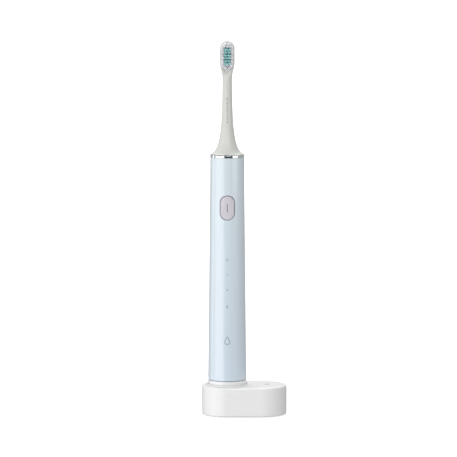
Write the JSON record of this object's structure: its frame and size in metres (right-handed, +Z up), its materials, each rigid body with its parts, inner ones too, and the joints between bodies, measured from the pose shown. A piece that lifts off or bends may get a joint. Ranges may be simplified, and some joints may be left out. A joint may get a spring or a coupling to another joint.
{
  "type": "electric toothbrush",
  "caption": "Sonic toothbrush with a tapered handle and a push-on brush head, standing on a pill-shaped inductive charging base.",
  "frame": {"origin": "centre of the charging base's footprint, on the surface it stands on", "axes": "+Z up along the handle; the button, the mode lights and the bristles face -Y; +X to the right seen from the front, with the brush over the base's -X end"},
  "size_m": [0.0624, 0.0376, 0.2738],
  "materials": {
    "base_white": "moulded ABS, fine satin",
    "collar_white": "moulded TPE, matt",
    "pad_grey": "moulded silicone, matt",
    "plate_white": "moulded ABS",
    "handle_blue": "soft-touch coated ABS, satin",
    "cap_white": "moulded ABS, gloss",
    "trim_metal": "plated, polished",
    "mark_grey": "printed ink",
    "button_lilac": "moulded TPE over ABS, satin",
    "light_bar": "light pipe, smoked",
    "window_grey": "light pipe, frosted",
    "lens_grey": "light pipe, frosted",
    "rubber_dark": "moulded silicone",
    "screw_steel": "zinc plated",
    "shaft_steel": "ground stainless",
    "ferrite": "sintered ferrite",
    "copper_wire": "enamelled copper winding",
    "bobbin_black": "glass-filled nylon",
    "board_green": "solder mask on glass-epoxy",
    "chip_black": "moulded epoxy",
    "capacitor_can": "sleeved aluminium can",
    "led_clear": "clear epoxy over phosphor",
    "battery_sleeve": "heat-shrink sleeve",
    "nickel": "nickel strip",
    "foam_grey": "closed-cell foam",
    "frame_grey": "moulded ABS",
    "motor_steel": "drawn steel, nickel plated",
    "magnet": "nickel-plated magnet",
    "bronze": "sintered bronze",
    "brush_white": "moulded PP, satin",
    "insert_white": "moulded POM",
    "bristle_white": "nylon filament",
    "bristle_teal": "nylon filament, tinted"
  },
  "bodies": {
    "charger": {"base_housing": "base_white", "seat_ring": "collar_white", "base_plate": "plate_white", "foot_pad": "pad_grey", "base_screws": "screw_steel", "transmitter_core": "ferrite", "transmitter_bobbin": "bobbin_black", "transmitter_coil": "copper_wire", "charger_board": "board_green", "board_screws": "screw_steel", "charger_capacitor": "capacitor_can", "charger_inductor": "ferrite", "charger_chip": "chip_black", "status_led": "led_clear", "status_lens": "lens_grey", "cable_gland": "pad_grey"},
    "handle": {"handle_housing": "handle_blue", "drop_mark": "mark_grey", "mode_windows": "window_grey", "trim_ring": "trim_metal", "shaft_seal": "rubber_dark", "bottom_cap": "cap_white", "bottom_seal": "rubber_dark", "receiver_coil": "copper_wire", "receiver_sleeve": "ferrite", "battery_foam": "foam_grey", "battery_cell": "battery_sleeve", "battery_tabs": "nickel", "chassis": "frame_grey", "control_board": "board_green", "control_screws": "screw_steel", "controller_chip": "chip_black", "charge_chip": "chip_black", "mode_leds": "led_clear", "light_guide": "bobbin_black", "tact_switch": "chip_black", "button_seal": "rubber_dark", "motor_can": "motor_steel", "motor_end_cap": "bobbin_black", "bush_plate": "bobbin_black", "lower_bush": "bronze", "upper_bush": "bronze", "torsion_strip": "shaft_steel", "stator_core": "motor_steel", "stator_coils": "copper_wire"},
    "button": {"power_button": "button_lilac", "button_light_bar": "light_bar", "switch_plunger": "bobbin_black"},
    "drive": {"drive_shaft": "shaft_steel", "rotor_yoke": "motor_steel", "rotor_magnets": "magnet"},
    "brush_head": {"brush_body": "brush_white", "tuft_plate": "brush_white", "bristles_white": "bristle_white", "bristles_teal": "bristle_teal", "shaft_insert": "insert_white", "grip_clip": "shaft_steel"}
  },
  "joints": [
    {"name": "handle_lift", "type": "slide", "parent": "charger", "child": "handle", "axis": [0, 0, 1], "range_m": [0, 0.04]},
    {"name": "button_press", "type": "slide", "parent": "handle", "child": "button", "axis": [0, 1, 0], "range_m": [0, 0.0004], "stiffness_N_per_m": 600, "springref_m": -0.0015},
    {"name": "shaft_oscillation", "type": "hinge", "parent": "handle", "child": "drive", "pos_m": [-0.0124, 0, 0.1912], "axis": [0, 0, 1], "range_deg": [-4.5, 4.5], "stiffness_Nm_per_rad": 0.02, "deforming": ["torsion_strip"]},
    {"name": "brush_head_pull", "type": "slide", "parent": "drive", "child": "brush_head", "axis": [0, 0, 1], "range_m": [0, 0.024]}
  ]
}
